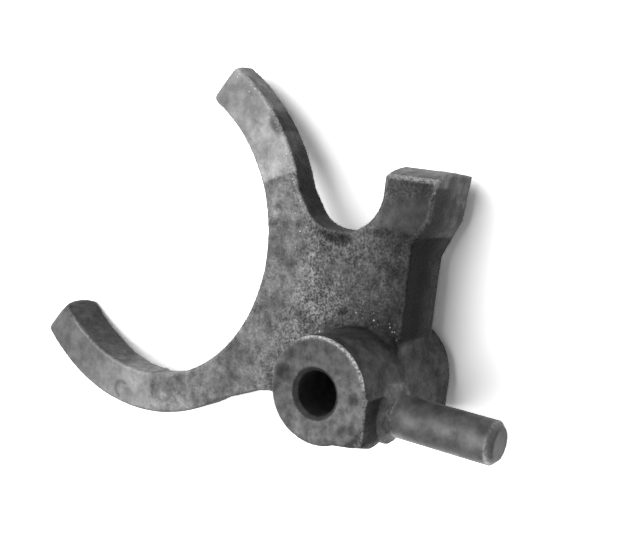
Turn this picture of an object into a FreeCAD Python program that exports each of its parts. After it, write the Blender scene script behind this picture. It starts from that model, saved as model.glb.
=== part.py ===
# Shift fork of a small gearbox: one drop forging with an integral hub, lug and guide pin.
# Frame: origin on the bore axis at the hub's rear face, +Z up the bore to the nose, +X towards
# the lug. The guide pin points to -Y and the fork's mouth opens between +X and +Y.
import FreeCAD, Part
import math
import os

import Sketcher

V = FreeCAD.Vector
doc = FreeCAD.newDocument("shift_fork")

# driving sizes in millimetres and degrees, measured on the finished part
SIZES = {
    # hub with its bore
    "bore_dia": 10.0,
    "bore_chamfer": 1.0,
    "hub_dia": 24.8,
    "hub_length": 39.8,
    "hub_draft": 0.5,
    "hub_shift_x": 0.7,
    "hub_shift_y": -0.3,
    "nose_edge": 0.6,
    # boss on the hub's side, flat where the guide pin leaves it
    "boss_reach": 12.8,
    "boss_width": 10.8,
    "boss_shoulder": 200.0,
    # guide pin
    "pin_dia": 9.7,
    "pin_offset": 3.6,
    "pin_height": 26.6,
    "pin_reach": 38.3,
    "pin_chamfer": 1.3,
    "pin_flare": 2.0,
    "pin_root_depth": 2.5,
    # levels of the forging above the hub's rear face, and its draft
    "plate_front": 23.0,
    "plate_thickness": 7.4,
    "rib_rear": 4.8,
    "web_draft": 2.0,
    # fork, drawn about the centre of its arc and turned so that its mouth opens to +Y
    "fork_centre_x": 25.9,
    "fork_centre_y": 68.1,
    "fork_turn": -37.4,
    "fork_radius": 38.9,
    "arm_width": 10.4,
    "tip_overhang": 8.4,
    "tip_front": 6.6,
    "tip_rear": 7.2,
    "tip_end_radius": 13.4,
    "tip_corner": 1.4,
    # machined pads, their inner ends as angles from the fork's foot
    "pad_step": 0.3,
    "right_pad_start": 61.4,
    "left_pad_start": 45.1,
    "arc_relief": 0.35,
    # thicker rear of the arm ends, and the ramps from there to the web
    "pad_thickness": 11.5,
    "pad_width": 7.0,
    "ramp_top": 77.0,
    "ramp_foot": 42.0,
    # web between the hub and the fork, with a valley between the right arm and the lug
    "web_left": 7.9,
    "flare_height": 25.5,
    "flare_start": 25.6,
    "flare_radius": 16.0,
    "valley_floor": 33.6,
    "valley_turn": 15.8,
    "valley_start": 60.0,
    "valley_radius": 10.5,
    "valley_arm_radius": 8.5,
    # rib from the hub to the lug, and the lug; the tapers are what each wall draws in by to the rear
    "rib_edge": 10.0,
    "rib_taper": 1.1,
    "rib_inner": 7.0,
    "rib_inset": 0.6,
    "rib_slant": 3.0,
    "kink_x": 33.5,
    "kink_rear_x": 29.6,
    "kink_end": 38.9,
    "lug_outer": 13.4,
    "lug_corner": 14.3,
    "lug_taper": 0.25,
    "lug_inner": -1.4,
    "lug_end": 49.95,
    "lug_end_height": 13.9,
    "lug_end_draft": 4.4,
    "lug_end_radius": 20.0,
    "lug_lean": 14.8,
    "lug_face_start": 36.0,
    "lug_step": 0.25,
    # rounding left by the forging
    "crease_radius": 1.2,
    "forged_edge": 0.7,
}

sheet = doc.addObject("Spreadsheet::Sheet", "Sizes")
for row, (name, size) in enumerate(SIZES.items(), start=1):
    sheet.set("A%d" % row, name)
    sheet.set("B%d" % row, str(size))
    sheet.setAlias("B%d" % row, name)
doc.recompute()

fork = doc.addObject("PartDesign::Body", "ShiftFork")
fork.Label = "shift_fork"
fork.Placement = FreeCAD.Placement(V(0, 0, 0), FreeCAD.Rotation())


def number(expression):
    """Number that an expression has now; # stands before each name of the sheet."""
    found = fork.evalExpression(expression.replace("#", "Sizes."))
    return float(getattr(found, "Value", found))


def bind(target, prop, expression):
    target.setExpression(prop, expression.replace("#", "Sizes."))


def new_sketch(name, role, height="0", x="0", y="0", turn="0"):
    """Empty sketch parallel to an origin plane, moved, and turned about the world's Z."""
    sketch = fork.newObject("Sketcher::SketchObject", name)
    plane = [item for item in fork.Origin.OriginFeatures if item.Role == role][0]
    upright = V(0, 0, 1) if role == "XY_Plane" else V(0, 1, 0)
    sketch.AttachmentSupport = [(plane, "")]
    sketch.MapMode = "FlatFace"
    sketch.AttachmentOffset = FreeCAD.Placement(V(0, 0, 0), FreeCAD.Rotation(upright, 1))
    for prop, expression in (("Base.x", x), ("Base.y", y), ("Base.z", height), ("Rotation.Angle", turn)):
        bind(sketch, "AttachmentOffset." + prop, expression)
    doc.recompute()
    return sketch


def fix_point(sketch, line, end, point):
    """Ties one point of an edge to expressions for its x and y."""
    for kind, expression in zip(("DistanceX", "DistanceY"), point):
        size = number(expression)
        index = sketch.addConstraint(Sketcher.Constraint(kind, -1, 1, line, end, size))
        bind(sketch, "Constraints[%d]" % index, expression)


def polygon(sketch, points, bend=None):
    """Closed outline through points given as expressions. A bend makes its first edge an arc
    of that radius, which goes round to the left from the first point to the second."""
    corners = [V(number(x), number(y), 0) for x, y in points]
    sides = list(zip(corners, corners[1:] + corners[:1]))
    if bend:
        start, end = sides.pop(0)
        half = (end - start) / 2
        reach = math.sqrt(number(bend) ** 2 - half.Length ** 2)
        middle = start + half + V(-half.y, half.x, 0).normalize() * reach
        rim = Part.Circle(middle, V(0, 0, 1), number(bend))
        sketch.addGeometry(Part.ArcOfCircle(rim, rim.parameter(start), rim.parameter(end)))
    for start, end in sides:
        sketch.addGeometry(Part.LineSegment(start, end))
    for i in range(len(points)):
        sketch.addConstraint(Sketcher.Constraint("Coincident", i, 2, (i + 1) % len(points), 1))
        fix_point(sketch, i, 1, points[i])
    if bend:
        radius = sketch.addConstraint(Sketcher.Constraint("Radius", 0, number(bend)))
        bind(sketch, "Constraints[%d]" % radius, bend)
    doc.recompute()


def circle(sketch, x, y, diameter):
    """Circle whose centre and diameter are expressions."""
    round_edge = Part.Circle(V(number(x), number(y), 0), V(0, 0, 1), number(diameter) / 2)
    index = sketch.addGeometry(round_edge)
    fix_point(sketch, index, 3, (x, y))
    size = sketch.addConstraint(Sketcher.Constraint("Diameter", index, number(diameter)))
    bind(sketch, "Constraints[%d]" % size, diameter)
    doc.recompute()


def check(feature):
    """Stops the build where a feature has failed."""
    doc.recompute()
    if "Invalid" in feature.State or "Error" in feature.State:
        raise RuntimeError("%s failed: %s" % (feature.Name, feature.getStatusString()))
    if feature.Shape.isNull() or not feature.Shape.isValid():
        raise RuntimeError("%s has no valid shape" % feature.Name)
    return feature


def pad(name, sketch, length, taper="0", reverse=False):
    feature = fork.newObject("PartDesign::Pad", name)
    feature.Profile = sketch
    feature.Reversed = reverse
    bind(feature, "Length", length)
    bind(feature, "TaperAngle", taper)
    return check(feature)


def cut(kind, name, sketch, prop, expression, reverse=False, both=False):
    """Pocket or groove, which has to take something away."""
    before = fork.Tip.Shape.Volume
    feature = fork.newObject(kind, name)
    feature.Profile = sketch
    feature.Midplane = both
    if kind == "PartDesign::Groove":
        feature.ReferenceAxis = (sketch, ["V_Axis"])
    feature.Reversed = reverse
    bind(feature, prop, expression)
    check(feature)
    if feature.Shape.Volume > before - 1e-3:
        raise RuntimeError("%s cuts nothing" % name)
    return feature


def pocket(name, sketch, length, reverse=False, both=False):
    return cut("PartDesign::Pocket", name, sketch, "Length", length, reverse, both)


def dress(kind, name, edges, prop, expression):
    """Fillet or chamfer on edges of the solid so far."""
    base = fork.Tip
    feature = fork.newObject(kind, name)
    feature.Base = (base, edges)
    bind(feature, prop, expression)
    return check(feature)


def edges_where(test):
    """Names of the solid's edges whose points all pass a test."""
    found = []
    for index, edge in enumerate(fork.Tip.Shape.Edges, start=1):
        first, last = edge.ParameterRange
        points = [edge.valueAt(first + (last - first) * step / 4) for step in range(5)]
        if all(test(point) for point in points):
            found.append("Edge%d" % index)
    if not found:
        raise RuntimeError("no edge found")
    return found


def upright(x, y, reach=0.3):
    """Test for the upright edge at a place seen from above."""
    place = V(number(x), number(y), 0)
    return lambda point: math.hypot(point.x - place.x, point.y - place.y) < reach


# places closer together than this are taken as the same
TOUCH = 0.01


def from_axis(point, x="0", y="0"):
    """Distance seen from above from an upright axis."""
    return math.hypot(point.x - number(x), point.y - number(y))


def at_height(point, expression):
    return abs(point.z - number(expression)) < TOUCH


def on_fork(radius, angle):
    """Point at a radius about the fork's centre, its angle counted from the fork's foot."""
    turn = "(270 + #fork_turn + (%s))" % angle
    return (
        "#fork_centre_x + (%s) * cos(%s)" % (radius, turn),
        "#fork_centre_y + (%s) * sin(%s)" % (radius, turn),
    )


INNER = "#fork_radius"
OUTER = "(#fork_radius + #arm_width)"
PLATE_REAR = "#plate_front - #plate_thickness"
PAD_REAR = "#plate_front - #pad_thickness"


def horseshoe(name, outer):
    """Outline between the fork's inner arc and an outer arc, both ending on one straight line."""
    sketch = new_sketch(
        name, "XY_Plane", "#plate_front", "#fork_centre_x", "#fork_centre_y", "#fork_turn")
    over = number("#tip_overhang")
    ends = []
    for radius in (number(outer), number(INNER)):
        whole = Part.Circle(V(0, 0, 0), V(0, 0, 1), radius)
        rise = math.asin(over / radius)
        sketch.addGeometry(Part.ArcOfCircle(whole, math.pi - rise, 2 * math.pi + rise))
        ends.append(radius * math.cos(rise))
    for side in (1, -1):
        first, last = V(side * ends[1], over, 0), V(side * ends[0], over, 0)
        sketch.addGeometry(Part.LineSegment(first, last))
    for arc, arc_end, line, line_end in ((0, 2, 2, 2), (1, 2, 2, 1), (0, 1, 3, 2), (1, 1, 3, 1)):
        sketch.addConstraint(Sketcher.Constraint("Coincident", arc, arc_end, line, line_end))
    for arc, radius in ((0, outer), (1, INNER)):
        sketch.addConstraint(Sketcher.Constraint("Coincident", arc, 3, -1, 1))
        size = sketch.addConstraint(Sketcher.Constraint("Radius", arc, number(radius)))
        bind(sketch, "Constraints[%d]" % size, radius)
    for line in (2, 3):
        sketch.addConstraint(Sketcher.Constraint("Horizontal", line))
        height = sketch.addConstraint(Sketcher.Constraint("DistanceY", -1, 1, line, 1, over))
        bind(sketch, "Constraints[%d]" % height, "#tip_overhang")
    doc.recompute()
    return sketch


# rear of the arms: full thickness at the tips, sloping down to the web towards the foot
band = horseshoe("BandOutline", "#fork_radius + #pad_width")
pad("RearBand", band, "#pad_thickness", reverse=True)
RAMP_HALF = "(#fork_radius + #pad_width / 2) * sin((#ramp_top - #ramp_foot) / 2)"
for arm, side in (("Right", "1"), ("Left", "-1")):
    middle = "#fork_turn + %s * (#ramp_top + #ramp_foot) / 2" % side
    wedge = new_sketch(
        arm + "Ramp", "XZ_Plane", "-#fork_centre_y", "#fork_centre_x", turn=middle)
    tipward, footward = side + " * " + RAMP_HALF, "-" + side + " * " + RAMP_HALF
    past_foot = "-%s * #fork_radius * 2" % side
    polygon(wedge, [
        (tipward, PAD_REAR),
        (footward, PLATE_REAR),
        (past_foot, PLATE_REAR),
        (past_foot, PAD_REAR + " - 1"),
        (tipward, PAD_REAR + " - 1"),
    ])
    pocket(arm + "RampCut", wedge, OUTER + " + 3", reverse=True)
pad("Arms", horseshoe("ArmOutline", OUTER), "#plate_thickness", reverse=True)

# the tips' ends bulge between the front and the rear
tips = new_sketch(
    "TipEnds", "XZ_Plane", "-#fork_centre_y", "#fork_centre_x", turn="#fork_turn + 90")
polygon(tips, [
    ("#tip_rear", PAD_REAR),
    ("#tip_front", "#plate_front"),
    ("#tip_front", "#plate_front + 1"),
    ("#tip_overhang + 1", "#plate_front + 1"),
    ("#tip_overhang + 1", PAD_REAR + " - 1"),
    ("#tip_rear", PAD_REAR + " - 1"),
], bend="#tip_end_radius")
pocket("TipBulge", tips, OUTER + " * 2 + 10", both=True)


def at_tip(side, radius):
    """Test for the corner edge of one arm's end at a radius about the fork's centre."""
    middle = V(number("#fork_centre_x"), number("#fork_centre_y"), 0)
    turn = FreeCAD.Rotation(V(0, 0, 1), -number("#fork_turn"))
    end, reach = number("#tip_front"), number(radius)

    def test(point):
        place = turn.multVec(point - middle)
        on_end = place.y > end - TOUCH and place.x * side > 0
        return on_end and abs(math.hypot(place.x, place.y) - reach) < TOUCH

    return test


# rounded corners of the arm tips
for arm, side in (("Right", 1), ("Left", -1)):
    for where, radius in (("Inner", INNER), ("Outer", OUTER)):
        corner = edges_where(at_tip(side, radius))
        dress("PartDesign::Fillet", arm + "Tip" + where, corner, "Radius", "#tip_corner")


def front_arm_edge(point):
    reach = from_axis(point, "#fork_centre_x", "#fork_centre_y")
    return at_height(point, "#plate_front") and reach > number(INNER) + TOUCH


# the arms' front is rounded all round but for the inner arc
ARM_EDGES = edges_where(front_arm_edge)
dress("PartDesign::Fillet", "ArmFrontEdges", ARM_EDGES, "Radius", "#forged_edge")

# web from the hub to the fork
web = new_sketch("WebOutline", "XY_Plane", "#plate_front")
polygon(web, [
    ("-#web_left", "0"),
    ("0", "-#rib_edge + 2"),
    ("#lug_end - 2", "-#rib_edge + 2"),
    ("#lug_end - 2", "#lug_inner"),
    ("#valley_floor", "#lug_inner"),
    ("#valley_floor", "#valley_turn"),
    on_fork(OUTER + " - 1", "#valley_start"),
    on_fork("#fork_radius + #arm_width * 0.75", "(#valley_start - #flare_start) / 2"),
    on_fork(OUTER + " - 1", "-#flare_start"),
    ("-#web_left", "#flare_height"),
])
pad("Web", web, "#plate_thickness", "#web_draft", reverse=True)
for name, x, y, radius in (
    ("ValleyLugSide", "#valley_floor", "#lug_inner", "#valley_radius"),
    ("ValleyArmSide", "#valley_floor", "#valley_turn", "#valley_arm_radius"),
    ("WebFlare", "-#web_left", "#flare_height", "#flare_radius"),
):
    dress("PartDesign::Fillet", name, edges_where(upright(x, y, 1)), "Radius", radius)

def rib_outline(name, height, edge, kink, outer, corner, end):
    """Outline of the rib and the lug at one height."""
    outline = new_sketch(name, "XY_Plane", height)
    polygon(outline, [
        ("0", "-" + edge),
        (kink, "-" + edge),
        ("#kink_end", "-" + outer),
        (end, "-" + corner),
        (end, "#lug_inner"),
        ("#valley_floor - #rib_inset", "#lug_inner"),
        ("#valley_floor - #rib_inset - #rib_slant", "#rib_inner"),
        ("0", "#rib_inner"),
    ])
    return outline


# rib from the hub to the lug, between its front outline and a smaller one at the rear
rib = fork.newObject("PartDesign::AdditiveLoft", "Rib")
rib.Profile = rib_outline(
    "RibFront", "#plate_front", "#rib_edge", "#kink_x", "#lug_outer", "#lug_corner",
    "#lug_end + tan(#lug_end_draft) * (#plate_front - #lug_end_height)")
rib.Sections = [rib_outline(
    "RibRear", "#rib_rear", "(#rib_edge - #rib_taper)", "#kink_rear_x",
    "(#lug_outer - #lug_taper)", "(#lug_corner - #lug_taper)",
    "#lug_end - tan(#lug_end_draft) * (#lug_end_height - #rib_rear)")]
rib.Ruled = True
check(rib)

# the lug's end curves back towards the front
LUG_FACE_END = "#lug_end - tan(#lug_lean) * (#plate_front - #lug_end_height)"
lean = new_sketch("LugLean", "XZ_Plane", "#lug_corner + 5")
polygon(lean, [
    ("#lug_end", "#lug_end_height"),
    (LUG_FACE_END, "#plate_front"),
    (LUG_FACE_END, "#plate_front + 1"),
    ("#lug_end + 3", "#plate_front + 1"),
    ("#lug_end + 3", "#lug_end_height"),
], bend="#lug_end_radius")
pocket("LugEnd", lean, "#lug_corner - #lug_inner + 10")

def front_lug_edge(point):
    on_end = abs(point.x - number(LUG_FACE_END)) < TOUCH
    return at_height(point, "#plate_front") and (on_end or point.y < TOUCH - number("#rib_edge"))


def rear_lug_edge(point):
    return at_height(point, "#rib_rear") and point.x > -TOUCH


# rounded edges of the lug and the rib
for name, test in (("LugFrontEdges", front_lug_edge), ("LugRearEdges", rear_lug_edge)):
    dress("PartDesign::Fillet", name, edges_where(test), "Radius", "#forged_edge")

# hub: round, a little off the bore, with a boss that is flat on the side of the guide pin
hub = new_sketch("HubRound", "XY_Plane")
circle(hub, "#hub_shift_x", "#hub_shift_y", "#hub_dia")
pad("Hub", hub, "#hub_length", "-#hub_draft")
boss = new_sketch("BossOutline", "XY_Plane")
polygon(boss, [
    ("-#pin_offset - #boss_width / 2", "-#boss_reach"),
    ("#boss_width / 2 - #pin_offset", "-#boss_reach"),
    ("#boss_width / 2 - #pin_offset", "0"),
    ("#hub_shift_x + (#hub_dia / 2 - 0.7) * cos(#boss_shoulder)",
     "#hub_shift_y + (#hub_dia / 2 - 0.7) * sin(#boss_shoulder)"),
])
pad("Boss", boss, "#hub_length")

# guide pin: turned, with a flared root and a chamfered end
pin = new_sketch("PinProfile", "XY_Plane", "#pin_height", "-#pin_offset")
PIN_ROOT = "-#boss_reach + #pin_root_depth"
polygon(pin, [
    ("#pin_dia / 2 + #pin_flare", "-#boss_reach"),
    ("#pin_dia / 2", "-#boss_reach - #pin_flare"),
    ("#pin_dia / 2", "-#pin_reach + #pin_chamfer"),
    ("#pin_dia / 2 - #pin_chamfer", "-#pin_reach"),
    ("0", "-#pin_reach"),
    ("0", PIN_ROOT),
    ("#pin_dia / 2 + #pin_flare", PIN_ROOT),
], bend="#pin_flare")
turned = fork.newObject("PartDesign::Revolution", "Pin")
turned.Profile = pin
turned.ReferenceAxis = (pin, ["V_Axis"])
turned.Angle = 360
check(turned)

# bore with a chamfer at each mouth
bore = new_sketch("BoreRound", "XY_Plane")
circle(bore, "0", "0", "#bore_dia")
pocket("Bore", bore, "#hub_length + 1", reverse=True)


def on_mouth(point):
    on_end = at_height(point, "0") or at_height(point, "#hub_length")
    return on_end and abs(from_axis(point) - number("#bore_dia / 2")) < TOUCH


dress("PartDesign::Chamfer", "BoreMouths", edges_where(on_mouth), "Size", "#bore_chamfer")

# machined pads on the front of both arm ends, and the milled face of the lug
for arm, side, angle in (("Right", "", "#right_pad_start"), ("Left", "-", "-#left_pad_start")):
    outline = new_sketch(
        arm + "PadOutline", "XY_Plane", "#plate_front", "#fork_centre_x", "#fork_centre_y", "#fork_turn")
    spoke = "270 + " + angle
    inner, outer = "(#fork_radius - 3)", "(%s + 5)" % OUTER
    polygon(outline, [
        ("%s * cos(%s)" % (inner, spoke), "%s * sin(%s)" % (inner, spoke)),
        ("%s * cos(%s)" % (outer, spoke), "%s * sin(%s)" % (outer, spoke)),
        (side + outer, "%s * sin(%s)" % (outer, spoke)),
        (side + outer, "#tip_overhang + 2"),
        (side + inner, "#tip_overhang + 2"),
    ])
    pocket(arm + "ArmPad", outline, "#pad_step")
face = new_sketch("LugFace", "XY_Plane", "#plate_front")
polygon(face, [
    ("#lug_face_start", "-#lug_corner - 3"),
    ("#lug_end + 3", "-#lug_corner - 3"),
    ("#lug_end + 3", "#lug_inner + 6"),
    ("#lug_face_start", "#lug_inner + 6"),
])
pocket("LugFaceCut", face, "#lug_step")

# the arc between the pads stands back from them
ARC_START = "270 + #fork_turn - #left_pad_start"
arc = new_sketch("ArcProfile", "XZ_Plane", "-#fork_centre_y", "#fork_centre_x", turn=ARC_START)
polygon(arc, [
    ("#fork_radius - 2", "0"),
    ("#fork_radius + #arc_relief", "0"),
    ("#fork_radius + #arc_relief", "#plate_front + 2"),
    ("#fork_radius - 2", "#plate_front + 2"),
])
cut("PartDesign::Groove", "ArcRelief", arc, "Angle", "#left_pad_start + #right_pad_start")


# rounded crease at the hub's foot, and the rounded edges of its ends
def at_foot(point):
    reach = from_axis(point, "#hub_shift_x", "#hub_shift_y")
    foot = number("#hub_dia / 2 - tan(#hub_draft) * #plate_front")
    return at_height(point, "#plate_front") and abs(reach - foot) < TOUCH


def at_hub_end(point):
    on_end = at_height(point, "0") or at_height(point, "#hub_length")
    return on_end and from_axis(point) > number("#bore_dia / 2 + #bore_chamfer") + TOUCH


dress("PartDesign::Fillet", "HubCrease", edges_where(at_foot), "Radius", "#crease_radius")
dress("PartDesign::Fillet", "HubEnds", edges_where(at_hub_end), "Radius", "#nose_edge")

# every object has to be sound before the part is written
for item in doc.Objects:
    if "Invalid" in item.State or "Error" in item.State:
        raise RuntimeError("%s failed" % item.Name)
if fork.Shape.isNull() or not fork.Shape.isValid() or len(fork.Shape.Solids) != 1:
    raise RuntimeError("the fork isn't one sound solid")
os.makedirs("parts", exist_ok=True)
fork.Shape.exportStep("parts/shift_fork.step")
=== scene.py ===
import bmesh
import bpy
import numpy as np
from mathutils import Matrix, Vector, noise


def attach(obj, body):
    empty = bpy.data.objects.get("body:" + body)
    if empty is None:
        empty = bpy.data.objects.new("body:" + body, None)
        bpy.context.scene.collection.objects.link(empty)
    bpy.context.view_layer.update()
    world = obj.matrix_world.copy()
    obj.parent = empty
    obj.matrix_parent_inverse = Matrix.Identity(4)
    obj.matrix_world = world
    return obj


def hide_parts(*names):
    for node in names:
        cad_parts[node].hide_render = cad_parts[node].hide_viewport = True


# Shift fork, in metres, in the part's own frame: the origin is on the bore's axis at the hub's
# rear face, +Z runs up the bore to the nose, +X to the lug, and the guide pin points to -Y.
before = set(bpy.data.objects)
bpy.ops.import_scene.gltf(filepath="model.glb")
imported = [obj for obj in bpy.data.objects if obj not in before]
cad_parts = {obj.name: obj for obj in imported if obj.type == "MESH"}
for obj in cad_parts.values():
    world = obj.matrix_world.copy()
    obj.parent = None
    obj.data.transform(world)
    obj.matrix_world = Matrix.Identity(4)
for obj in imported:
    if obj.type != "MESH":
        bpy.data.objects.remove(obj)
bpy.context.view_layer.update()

# The forging: the whole fork is one drop forging in medium carbon steel. Its skin is dull and
# slightly lumpy from the dies. It is laid here over the solid as a skin of fine, even faces.
MM = 0.001
SKIN_FACE = 0.43 * MM
SAME_POINT = 0.002 * MM

merged = bmesh.new()
merged.from_mesh(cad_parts["shift_fork"].data)
bmesh.ops.remove_doubles(merged, verts=merged.verts, dist=SAME_POINT)
solid_mesh = bpy.data.meshes.new("fork_solid")
merged.to_mesh(solid_mesh)
merged.free()

def shown(name, data):
    """New object in the scene."""
    made = bpy.data.objects.new(name, data)
    bpy.context.scene.collection.objects.link(made)
    return made

def read(items, name, width):
    """Values of a mesh's points, edges or faces as rows of an array."""
    values = np.empty(len(items) * width)
    items.foreach_get(name, values)
    return values.reshape(-1, width)

solid = shown("fork_solid", solid_mesh)
even = shown("even_skin", solid_mesh.copy())
faces = even.modifiers.new("even faces", "REMESH")
faces.mode = "VOXEL"
faces.voxel_size = SKIN_FACE
hold = even.modifiers.new("back on the solid", "SHRINKWRAP")
hold.target = solid
hold.wrap_method = "NEAREST_SURFACEPOINT"
bpy.context.view_layer.update()
evaluated = even.evaluated_get(bpy.context.evaluated_depsgraph_get())
skin = bpy.data.meshes.new_from_object(evaluated)
skin.name = "shift_fork_skin"
for helper in (even, solid):
    bpy.data.objects.remove(helper)
points = read(skin.vertices, "co", 3) / MM
normals = read(skin.vertices, "normal", 3)

# Places on the fork in millimetres: soft masks and the surfaces that were cut after forging.
HUB_X, HUB_Y = 0.7, -0.3
PIN_X, PIN_Z = -3.6, 26.6
ARC_CENTRE = np.array((25.9, 68.1))
ARC_FOOT = np.radians(270 - 37.4)
RIGHT_PAD, LEFT_PAD, REAR_PADS = 61.4, -45.1, 77
PAD_FRONT, PAD_REAR, LUG_FACE = 22.7, 11.5, 22.75
BORE_EDGE = 5.97
NEAR = 0.12

def step(low, high, value):
    """0 below low, 1 above high, smooth between."""
    share = np.clip((value - low) / (high - low), 0, 1)
    return share * share * (3 - 2 * share)

def band(away, width):
    """1 on a line and fading over a width on both sides."""
    return np.exp(-(away / width) ** 2)

def blot(x, y, across, along, turn=0):
    """Soft oval of 1 seen from the front, its half sizes in mm and its turn in degrees."""
    c, s = np.cos(np.radians(turn)), np.sin(np.radians(turn))
    dx, dy = points[:, 0] - x, points[:, 1] - y
    away = np.hypot((c * dx + s * dy) / across, (c * dy - s * dx) / along)
    return 1 - step(0.7, 1.2, away)

def ball(x, y, z, size):
    """Soft ball of 1 round a place."""
    return band(np.linalg.norm(points - (x, y, z), axis=1), size)

def from_arc(places):
    """Distance from the arc's centre, and the angle from the arc's foot, positive to the lug."""
    away = places[:, :2] - ARC_CENTRE
    angle = np.degrees(np.arctan2(away[:, 1], away[:, 0]) - ARC_FOOT)
    return np.hypot(away[:, 0], away[:, 1]), (angle + 180) % 360 - 180

def machined(places, facing):
    """Masks of the surfaces cut after forging."""
    x, y, z = places.T
    reach, angle = from_arc(places)
    to_front, to_rear = facing[:, 2] > 0.5, facing[:, 2] < -0.5
    front_pads = ((angle > RIGHT_PAD) | (angle < LEFT_PAD)) & (abs(z - PAD_FRONT) < NEAR)
    rear_pads = (abs(angle) > REAR_PADS) & (abs(z - PAD_REAR) < NEAR)
    from_bore = np.hypot(x, y)
    return {
        "pads": (front_pads & to_front) | (rear_pads & to_rear),
        "arc": (reach < 39.4) & (abs(facing[:, 2]) < 0.5) & (z < 22.9),
        "pin": (np.hypot(x - PIN_X, z - PIN_Z) < 5.0) & (y < -14.6),
        "bore": from_bore < BORE_EDGE,
        "ends": (from_bore >= BORE_EDGE) & ((z > 39.72) | (z < 0.08)),
        "lug": (x > 36) & (abs(z - LUG_FACE) < NEAR) & (y < 0) & to_front,
    }

# Lumps and dents: the dies leave soft lumps on the forged skin, the boss swells a little below
# the faced nose, one arm tip is battered at its inner corner, and the web has a small dent.
def rough(size, seed):
    """Smooth noise of about -1 to 1 with lumps of a size in millimetres."""
    shift = Vector((seed * 7.3, seed * 3.1, seed * 5.7))
    return np.array([noise.noise(Vector(place) / size + shift) for place in points])

cut = machined(points, normals)
forged = np.ones(len(points))
for mask in cut.values():
    forged[mask] = 0.12
front = step(0.5, 0.9, normals[:, 2])
bumps = forged * (0.10 * rough(9.0, 1) + 0.06 * rough(3.6, 2) + 0.03 * rough(1.5, 3))
bumps += 0.8 * ball(-9.0, -12.0, 35.2, 3.0) - 0.5 * ball(-9.0, -12.9, 39.8, 1.4)
bumps -= 0.8 * ball(-1.6, 95.6, 22.7, 2.0)
bumps -= 0.30 * blot(15.4, 5.2, 0.7, 1.3, 20) * front
points = points + normals * bumps[:, None]
skin.vertices.foreach_set("co", (points * MM).ravel())

# Tone of the skin, 1 for its middle grey: it darkens away from the arc, carries painted shade on the
# upright walls and a painted shadow in the crease round the hub, and is mottled with oil and soot.
x, y, z = points.T
reach, angle = from_arc(points)
from_hub = np.hypot(x - HUB_X, y - HUB_Y)
pads = cut["pads"] & (z > 20)
on_hub = (from_hub < 13) & (z > 23.6)
on_nose = cut["ends"] & (z > 30)
flare = (y < -12.2) & (np.hypot(x - PIN_X, z - PIN_Z) < 7.4)
tone = (1.15 * np.exp(-(reach - 55) / 30)).clip(0, 1.22) * (1 - 0.45 * step(66, 78, reach))
arms = 1 + 0.3 * step(15, 35, -angle) + 0.35 * step(35, 46, -angle) + 0.12 * step(48, 60, angle)
right_pad = 1.8 - 0.5 * step(70, 95, angle)
left_pad = 0.8 + 0.85 * step(-85, -55, angle)
tone = np.where(pads, np.where(angle > 0, right_pad, left_pad), tone * arms)
tone[on_hub] = 0.75

# painted light and shade on the upright walls, darker where they face away from the light and
# lighter near the paper: the pin, its flare, the hub, the arc, the lug's end, the lug's side, the rib
# and the arms' outer side, each with its tone
wall_shading_by_place = (
    (cut["pin"], 0.5 - 0.03 * (x - PIN_X) + 0.3 * step(-21, -16, y) - 0.2 * (y < -38)),
    (flare, 0.85),
    (from_hub < 13.5, 0.42 - 0.22 * step(-9, -12, y) * (x < 1.5) * (z > 20)),
    (reach < 39.6, 0.42 + 0.7 * step(-78, -50, angle)),
    ((x > 46.5) & (y < 0), 0.75),
    ((y < -6) & (x > 35), 0.15 + 0.65 * (1 - step(8, 19, z))),
    ((y < -6) & (x > 11), 0.02 + 0.3 * (1 - step(7, 15, z))),
    (reach < 52, 0.15 + 0.65 * step(58, 88, abs(angle))),
)
wall_shading = np.select([place for place, _ in wall_shading_by_place], [value for _, value in wall_shading_by_place], 0.25)
wall_shading[cut["bore"]] = 1.4
upright = 1 - step(0.35, 0.8, abs(normals[:, 2]))
upright[cut["pin"] | flare] = 1
tone = tone * (1 - upright) + upright * wall_shading
# painted shadow of the hub on the web, in the crease round the hub's foot
hub_foot_shadow = band(from_hub - 13.2, 1.6) * step(22.2, 22.8, z) * (1 - step(24, 27, z)) * (y > -11)
tone *= 1 - 0.3 * hub_foot_shadow
mottle = rough(5.0, 11) + 0.6 * rough(2.2, 12)
tone *= 1 - (0.12 + 0.2 * (forged > 0.5)) * step(0.0, 0.5, mottle) + 0.12 * step(0.0, 0.5, -mottle)

# marks on the front: how dark, where, half sizes and turn. They are the patch by the valley,
# the web's dent, the foot of the lug, a fine line and a streak on the pads, and a light spot.
for dark, *place in (
        (0.70, 32.3, 9.6, 1.6, 4.6, -4), (0.35, 15.4, 5.2, 0.9, 1.5, 20),
        (0.40, 34.5, -5.4, 2.6, 3.6), (0.30, 56.2, 36.0, 0.3, 2.4, -16),
        (0.35, -16.6, 61.6, 3.2, 0.5, 6), (-0.30, 34.7, 27.9, 0.9, 1.3)):
    tone *= 1 - dark * blot(*place) * front
# the stain across the right arm, the half-moon on the left pad, and the nose, which is
# lighter to the left and has four oily spots
tone *= 1 - 0.60 * blot(57.0, 30.2, 2.2, 3.4, -65)
half_moon = band(np.hypot(x + 19.6, y - 72.9) - 2.2, 0.45) * (y - 72.4 > -0.5 * (x + 19.6))
tone *= 1 - 0.6 * half_moon * front
tone[on_nose] *= (1.0 - 0.03 * (x + 0.6 * y))[on_nose].clip(0.7, 1.25)
for spot_x, spot_y, size in ((1.1, -9.8, 1.3), (-6.0, -7.8, 1.0), (-5.6, -10.3, 1.2), (3.0, 8.6, 2.2)):
    tone[on_nose] *= (1 - 0.5 * blot(spot_x, spot_y, size, size))[on_nose]

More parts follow.
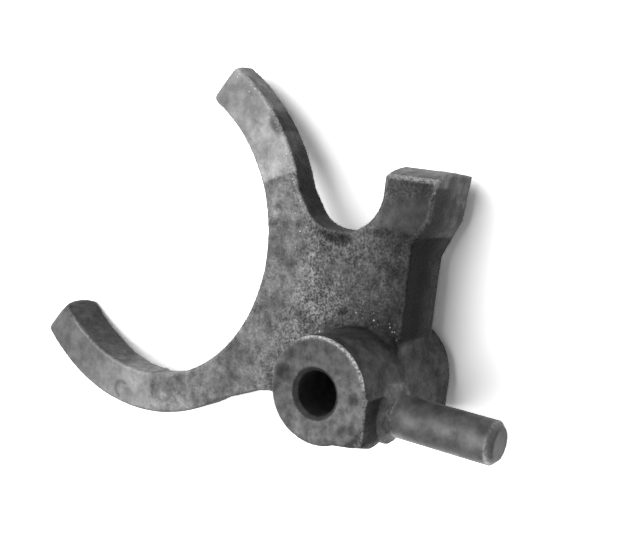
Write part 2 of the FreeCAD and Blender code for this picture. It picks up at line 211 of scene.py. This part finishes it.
# Grain: the blasted web is grainy in patches, the lug side and the left arm less so. A few
# bright flecks sit along the edges of the web and in the crease of the hub.
grain = (0.3 + 0.7 * step(45, 54, reach)) * (1 - 0.4 * step(56, 70, reach))
grain *= (0.2 + 0.8 * step(-14, 14, angle)) * step(-48, -30, angle) * (1 - step(52, 85, angle))
grain *= front * ((forged > 0.5) | (angle > 50)) * (0.9 + 0.6 * rough(4.5, 13)).clip(0.4, 1)
flecks = band(reach - 48.6, 1.5) * step(30, 45, angle) * front
flecks += band(from_hub - 14.6, 0.8) * front * (x > 8)
flecks += 0.15 * step(55, 62, reach) * (x > 14) * (x < 34) * front

# Bright lines: painted highlights on the nose's rim, on the lug's side and along the flat, and on
# the pin's rim, and a worn line along the lug's end edge.
nose_rim_highlight = 1.6 * band(from_hub - 11.95, 0.28) * (z > 39.0) * step(3, 6, x) * step(8, 3, y)
nose_rim_highlight += 0.5 * (z > 39.2) * (z < 39.75) * (y < -11.0)
lean = normals[:, 2]
lug_edge = (x > 45) * (z > 21.5) * step(0.25, 0.4, lean) * (1 - step(0.9, 0.97, lean))
pin_rim_highlight = 2 * band(y + 37.0, 0.4) * cut["pin"] * (z > 26)
pin_rim_highlight *= 0.1 + band(x + 6.2, 1.8)

# how far each point stands out from its neighbours, for worn edges and painted shade in the corners
edges = read(skin.edges, "vertices", 2).astype(int)
neighbours = np.bincount(edges.ravel(), minlength=len(points)).astype(float)

def spread(values, rounds):
    """Averages values over neighbouring points, so many times."""
    for _ in range(rounds):
        total = np.bincount(edges[:, 0], values[edges[:, 1]], len(points))
        total += np.bincount(edges[:, 1], values[edges[:, 0]], len(points))
        values = 0.5 * values + 0.5 * total / neighbours
    return values

middle = np.stack([spread(points[:, i], 5) for i in range(3)], axis=1)
stands_out = ((points - middle) * normals).sum(axis=1)
layers = {
    "tone": spread(tone, 1),
    "grain": spread(grain, 3),
    "flecks": flecks.clip(0, 1),
    # worn convex edges, with the painted highlights on the nose's rim and the pin's rim
    "wear_and_highlight": 0.3 * step(0.03, 0.14, spread(stands_out, 2)) + nose_rim_highlight + 0.6 * lug_edge + pin_rim_highlight,
    # painted shade in the concave corners
    "corner_shade": step(0.03, 0.12, -spread(stands_out, 3)) * (1 - flare),
}
for name, values in layers.items():
    layer = skin.attributes.new(name, "FLOAT", "POINT")
    layer.data.foreach_set("value", values.astype(np.float32))

fork = shown("shift_fork_skin", skin)
skin.polygons.foreach_set("use_smooth", np.ones(len(skin.polygons), dtype=bool))

# Finishes: each is steel between two greys, with the tone, grain, flecks, worn edges with painted
# highlights, and painted shade in the corners of the skin laid over it.
GRAIN_SIZE = 0.6 * MM
FLECK_SIZE = 0.8 * MM
RUBBED_ROUGHNESS = 0.38

def linear(hex_colour):
    """Linear colour of an sRGB hex value."""
    parts = [int(hex_colour[i:i + 2], 16) / 255 for i in (1, 3, 5)]
    return [p / 12.92 if p <= 0.04045 else ((p + 0.055) / 1.055) ** 2.4 for p in parts] + [1]

def add(tree, kind, settings=None, inputs=None):
    """Adds a node. Its inputs go by name or number, as values, sockets, or nodes, which give
    their first output in use."""
    made = tree.nodes.new(kind)
    for name, value in (settings or {}).items():
        setattr(made, name, value)
    for name, value in (inputs or {}).items():
        if isinstance(value, bpy.types.Node):
            value = next(socket for socket in value.outputs if socket.enabled)
        if isinstance(value, bpy.types.NodeSocket):
            tree.links.new(value, made.inputs[name])
        else:
            made.inputs[name].default_value = value
    return made

def steel(name, dark, light, patch, grit, roughness, metallic):
    """Steel skin between two greys; patch is the size of its clouds and grit its depth, in mm."""
    made = bpy.data.materials.new(name)
    made.use_nodes = True
    tree = made.node_tree
    tree.nodes.clear()
    place = add(tree, "ShaderNodeTexCoord").outputs["Object"]
    own = {layer: add(tree, "ShaderNodeAttribute", {"attribute_name": layer}).outputs["Fac"]
           for layer in layers}
    # clouds of the two greys, and a grain that is strong where the skin says so
    clouds = add(tree, "ShaderNodeTexNoise", inputs={
        "Vector": place, "Scale": 1 / (patch * MM), "Detail": 5, "Roughness": 0.65})
    clouds = add(tree, "ShaderNodeMapRange", inputs={
        "Value": clouds, "From Min": 0.35, "From Max": 0.65})
    grey = add(tree, "ShaderNodeMix", {"data_type": "RGBA"}, {
        0: clouds, 6: linear(dark), 7: linear(light)})
    grains = add(tree, "ShaderNodeTexNoise", inputs={
        "Vector": place, "Scale": 1 / GRAIN_SIZE, "Detail": 2, "Roughness": 0.7})
    pepper = add(tree, "ShaderNodeMapRange", inputs={
        "Value": grains, "From Min": 0.38, "From Max": 0.62, "To Min": 0.4, "To Max": 1.65})
    pepper = add(tree, "ShaderNodeMix", inputs={0: own["grain"], 2: 1.0, 3: pepper})
    toned = add(tree, "ShaderNodeMath", {"operation": "MULTIPLY"}, {0: own["tone"], 1: pepper})
    colour = add(tree, "ShaderNodeVectorMath", {"operation": "SCALE"}, {0: grey, "Scale": toned})
    # bright flecks: a few small cells
    cells = add(tree, "ShaderNodeTexVoronoi", inputs={"Vector": place, "Scale": 1 / FLECK_SIZE})
    dots = add(tree, "ShaderNodeMapRange", inputs={
        "Value": cells.outputs["Distance"], "From Min": 0.30, "From Max": 0.15})
    few = add(tree, "ShaderNodeSeparateColor", inputs={"Color": cells.outputs["Color"]})
    few = add(tree, "ShaderNodeMapRange", inputs={
        "Value": few, "From Min": 0.7, "From Max": 0.9})
    dots = add(tree, "ShaderNodeMath", {"operation": "MULTIPLY"}, {0: dots, 1: few})
    dots = add(tree, "ShaderNodeMath", {"operation": "MULTIPLY"}, {0: dots, 1: own["flecks"]})
    colour = add(tree, "ShaderNodeMix", {"data_type": "RGBA"}, {
        0: dots, 6: colour, 7: linear("#bcbcbc")})
    # rubbed edges and painted highlights are bright and smoother, and concave corners get painted
    # shade
    rubbed_and_highlit = add(tree, "ShaderNodeMapRange", inputs={
        "Value": grains, "From Min": 0.35, "From Max": 0.62, "To Min": 0.1, "To Max": 0.7})
    rubbed_and_highlit = add(tree, "ShaderNodeMath", {"operation": "MULTIPLY"}, {0: rubbed_and_highlit, 1: own["wear_and_highlight"]})
    colour = add(tree, "ShaderNodeMix", {"data_type": "RGBA"}, {
        0: rubbed_and_highlit, 6: colour, 7: linear("#a8a8a8")})
    # painted shade: the concave corners darken towards near black
    corner_darkening = add(tree, "ShaderNodeMath", {"operation": "MULTIPLY"}, {0: own["corner_shade"], 1: 0.6})
    colour = add(tree, "ShaderNodeMix", {"data_type": "RGBA"}, {
        0: corner_darkening, 6: colour, 7: linear("#1d1d1d")})
    relief = add(tree, "ShaderNodeBump", inputs={"Distance": grit * MM, "Height": grains})
    shine = add(tree, "ShaderNodeMapRange", inputs={
        "Value": rubbed_and_highlit, "To Min": roughness, "To Max": RUBBED_ROUGHNESS})
    surface = add(tree, "ShaderNodeBsdfPrincipled", inputs={
        "Base Color": colour, "Metallic": metallic, "Roughness": shine, "Normal": relief})
    add(tree, "ShaderNodeOutputMaterial", inputs={"Surface": surface})
    return made

finishes = {
    # the forged skin, blasted clean and gone dull
    "forged": steel("forged_steel_skin", "#4a4a4a", "#6e6e6e", 2.2, 0.30, 0.66, 0.95),
    # the arms' pads, milled to run in the sleeve's groove
    "pads": steel("milled_steel_pad", "#545454", "#6c6c6c", 3.0, 0.08, 0.58, 0.85),
    # the guide pin, turned and polished by use
    "pin": steel("turned_steel_pin", "#5e5e5e", "#848484", 4.0, 0.05, 0.55, 0.85),
    # the bore, reamed and oily
    "bore": steel("reamed_steel_bore", "#3c3c3c", "#505050", 3.0, 0.05, 0.55, 0.85),
    # the hub's two ends, faced
    "ends": steel("faced_steel_end", "#484848", "#6e6e6e", 2.2, 0.06, 0.58, 0.85),
    # the lug's front face, milled
    "lug": steel("milled_steel_lug", "#484848", "#6a6a6a", 2.6, 0.08, 0.60, 0.85),
}
for finish in finishes.values():
    skin.materials.append(finish)
face_cut = machined(read(skin.polygons, "center", 3) / MM, read(skin.polygons, "normal", 3))
index = np.zeros(len(skin.polygons), dtype=int)
for number, name in enumerate(finishes):
    if name != "forged":
        index[face_cut[name]] = number
skin.polygons.foreach_set("material_index", index)
skin.update()
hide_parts("shift_fork")
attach(fork, "root")

# Paper: the fork lies on white paper, on the hub's rear edge and both arm tips, so the paper
# leans against the part's frame. The camera sees it brighter than white, as in the photograph.
HUB_EDGE = Vector((8.0, 9.6, 0.0)) * MM
TIPS = (Vector((-3.1, 99.3, 11.5)) * MM, Vector((63.6, 48.3, 11.5)) * MM)
PAPER_GAP = 0.1 * MM
PAPER_HALF = 600 * MM
up = (TIPS[1] - HUB_EDGE).cross(TIPS[0] - HUB_EDGE).normalized()
across = up.orthogonal().normalized()
along = up.cross(across)
under_fork = Vector((20, 40, 0)) * MM
under_fork -= up * ((under_fork - HUB_EDGE).dot(up) + PAPER_GAP)
paper_mesh = bpy.data.meshes.new("paper")
corners = [under_fork + (across * a + along * b) * PAPER_HALF
           for a, b in ((-1, -1), (1, -1), (1, 1), (-1, 1))]
paper_mesh.from_pydata(corners, [], [(0, 1, 2, 3)])
paper = shown("paper", paper_mesh)

def background_ray(tree):
    """1 where the camera, or a mirror or glass that it sees, looks at the background."""
    ray = add(tree, "ShaderNodeLightPath")
    looks = add(tree, "ShaderNodeMath", {"operation": "MAXIMUM"}, {
        0: ray.outputs["Is Camera Ray"], 1: ray.outputs["Is Glossy Ray"]})
    return add(tree, "ShaderNodeMath", {"operation": "MAXIMUM"}, {
        0: looks, 1: ray.outputs["Is Transmission Ray"]})

# plain white paper, matt
white = bpy.data.materials.new("white_paper")
white.use_nodes = True
tree = white.node_tree
tree.nodes.clear()
shade = add(tree, "ShaderNodeMix", inputs={0: background_ray(tree), 2: 0.45, 3: 2.6})
surface = add(tree, "ShaderNodeBsdfDiffuse", inputs={"Color": shade})
add(tree, "ShaderNodeOutputMaterial", inputs={"Surface": surface})
paper_mesh.materials.append(white)

# Light: a wide soft window to the left of the picture, and a plain white room.
world = bpy.data.worlds.new("room")
bpy.context.scene.world = world
world.use_nodes = True
tree = world.node_tree
tree.nodes.clear()
level = add(tree, "ShaderNodeMix", inputs={0: background_ray(tree), 2: 0.15, 3: 1.0})
sky = add(tree, "ShaderNodeBackground", inputs={"Color": (1, 1, 1, 1), "Strength": level})
add(tree, "ShaderNodeOutputWorld", inputs={"Surface": sky})

window = bpy.data.lights.new("window", "SUN")
window.energy = 2.8
window.angle = np.radians(70)
lamp = shown("window", window)
lamp.rotation_euler = Vector((0.15, 0.45, 0.88)).to_track_quat("Z", "Y").to_euler()

# Camera: from above and past the guide pin's side, as in the photograph.
eye = bpy.data.cameras.new("camera")
eye.lens = 56.93
eye.sensor_width = 36
eye.sensor_fit = "HORIZONTAL"
eye.clip_start = 0.005
camera = shown("camera", eye)
turn = Matrix(((0.10968, 0.98256, 0.15013), (-0.82253, 0.17452, -0.54128),
               (-0.55805, -0.06412, 0.82733)))
place = Vector((58.147, -112.756, 216.562)) * MM
camera.matrix_world = Matrix.Translation(place) @ turn.to_4x4()
bpy.context.scene.camera = camera
bpy.context.scene.view_settings.view_transform = "Standard"
